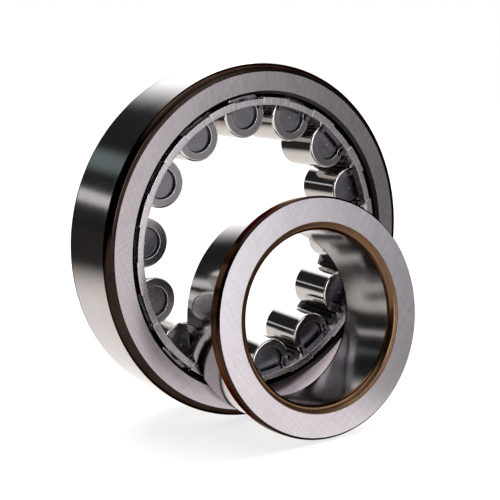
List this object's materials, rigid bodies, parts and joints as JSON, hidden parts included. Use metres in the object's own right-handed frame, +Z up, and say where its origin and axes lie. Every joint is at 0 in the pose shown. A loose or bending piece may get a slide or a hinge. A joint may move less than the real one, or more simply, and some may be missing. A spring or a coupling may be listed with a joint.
{
  "type": "cylindrical roller bearing",
  "caption": "Separable cylindrical roller bearing: outer ring holding caged rollers, with the flanged inner ring taken out and standing in front.",
  "frame": {"origin": "centre of the outer ring, on the bearing axis, midway between its two side faces", "axes": "+Y along the bearing axis, away from the side where the loose inner ring stands; +Z up; the floor under both rings is at z = -0.090; lengths in metres"},
  "size_m": [0.18, 0.0901, 0.18],
  "materials": {
    "outer_ring_steel": "ground bearing steel, satin side faces, polished outside",
    "inner_ring_steel": "ground bearing steel, bright satin face, polished bore and raceway",
    "roller_steel": "superfinished bearing steel barrels, matt ends",
    "cage_steel": "pressed sheet steel, slightly rough"
  },
  "bodies": {
    "outer_ring": {"outer_ring": "outer_ring_steel"},
    "inner_ring": {"inner_ring": "inner_ring_steel"},
    "cage": {"cage": "cage_steel"},
    "roller_01": {"roller_01": "roller_steel"},
    "roller_02": {"roller_02": "roller_steel"},
    "roller_03": {"roller_03": "roller_steel"},
    "roller_04": {"roller_04": "roller_steel"},
    "roller_05": {"roller_05": "roller_steel"},
    "roller_06": {"roller_06": "roller_steel"},
    "roller_07": {"roller_07": "roller_steel"},
    "roller_08": {"roller_08": "roller_steel"},
    "roller_09": {"roller_09": "roller_steel"},
    "roller_10": {"roller_10": "roller_steel"},
    "roller_11": {"roller_11": "roller_steel"},
    "roller_12": {"roller_12": "roller_steel"},
    "roller_13": {"roller_13": "roller_steel"},
    "roller_14": {"roller_14": "roller_steel"}
  },
  "joints": [
    {"name": "cage_orbit", "type": "hinge", "parent": "outer_ring", "child": "cage", "pos_m": [0, 0, 0], "axis": [0, 1, 0], "continuous": true},
    {"name": "roller_01_spin", "type": "hinge", "parent": "cage", "child": "roller_01", "pos_m": [-0.00835, 0, 0.06517], "axis": [0, 1, 0], "continuous": true},
    {"name": "roller_02_spin", "type": "hinge", "parent": "cage", "child": "roller_02", "pos_m": [-0.0358, 0, 0.05509], "axis": [0, 1, 0], "continuous": true},
    {"name": "roller_03_spin", "type": "hinge", "parent": "cage", "child": "roller_03", "pos_m": [-0.05615, 0, 0.0341], "axis": [0, 1, 0], "continuous": true},
    {"name": "roller_04_spin", "type": "hinge", "parent": "cage", "child": "roller_04", "pos_m": [-0.06539, 0, 0.00636], "axis": [0, 1, 0], "continuous": true},
    {"name": "roller_05_spin", "type": "hinge", "parent": "cage", "child": "roller_05", "pos_m": [-0.06168, 0, -0.02264], "axis": [0, 1, 0], "continuous": true},
    {"name": "roller_06_spin", "type": "hinge", "parent": "cage", "child": "roller_06", "pos_m": [-0.04575, 0, -0.04716], "axis": [0, 1, 0], "continuous": true},
    {"name": "roller_07_spin", "type": "hinge", "parent": "cage", "child": "roller_07", "pos_m": [-0.02075, 0, -0.06234], "axis": [0, 1, 0], "continuous": true},
    {"name": "roller_08_spin", "type": "hinge", "parent": "cage", "child": "roller_08", "pos_m": [0.00835, 0, -0.06517], "axis": [0, 1, 0], "continuous": true},
    {"name": "roller_09_spin", "type": "hinge", "parent": "cage", "child": "roller_09", "pos_m": [0.0358, 0, -0.05509], "axis": [0, 1, 0], "continuous": true},
    {"name": "roller_10_spin", "type": "hinge", "parent": "cage", "child": "roller_10", "pos_m": [0.05615, 0, -0.0341], "axis": [0, 1, 0], "continuous": true},
    {"name": "roller_11_spin", "type": "hinge", "parent": "cage", "child": "roller_11", "pos_m": [0.06539, 0, -0.00636], "axis": [0, 1, 0], "continuous": true},
    {"name": "roller_12_spin", "type": "hinge", "parent": "cage", "child": "roller_12", "pos_m": [0.06168, 0, 0.02264], "axis": [0, 1, 0], "continuous": true},
    {"name": "roller_13_spin", "type": "hinge", "parent": "cage", "child": "roller_13", "pos_m": [0.04575, 0, 0.04716], "axis": [0, 1, 0], "continuous": true},
    {"name": "roller_14_spin", "type": "hinge", "parent": "cage", "child": "roller_14", "pos_m": [0.02075, 0, 0.06234], "axis": [0, 1, 0], "continuous": true},
    {"name": "inner_ring_spin", "type": "hinge", "parent": "outer_ring", "child": "inner_ring", "pos_m": [0.0062, -0.04, -0.03388], "axis": [0.0517, 0.9868, -0.1534], "continuous": true}
  ],
  "couplings": [
    {"joint": "roller_01_spin", "follows": "cage_orbit", "ratio": -6.5},
    {"joint": "roller_02_spin", "follows": "cage_orbit", "ratio": -6.5},
    {"joint": "roller_03_spin", "follows": "cage_orbit", "ratio": -6.5},
    {"joint": "roller_04_spin", "follows": "cage_orbit", "ratio": -6.5},
    {"joint": "roller_05_spin", "follows": "cage_orbit", "ratio": -6.5},
    {"joint": "roller_06_spin", "follows": "cage_orbit", "ratio": -6.5},
    {"joint": "roller_07_spin", "follows": "cage_orbit", "ratio": -6.5},
    {"joint": "roller_08_spin", "follows": "cage_orbit", "ratio": -6.5},
    {"joint": "roller_09_spin", "follows": "cage_orbit", "ratio": -6.5},
    {"joint": "roller_10_spin", "follows": "cage_orbit", "ratio": -6.5},
    {"joint": "roller_11_spin", "follows": "cage_orbit", "ratio": -6.5},
    {"joint": "roller_12_spin", "follows": "cage_orbit", "ratio": -6.5},
    {"joint": "roller_13_spin", "follows": "cage_orbit", "ratio": -6.5},
    {"joint": "roller_14_spin", "follows": "cage_orbit", "ratio": -6.5}
  ]
}
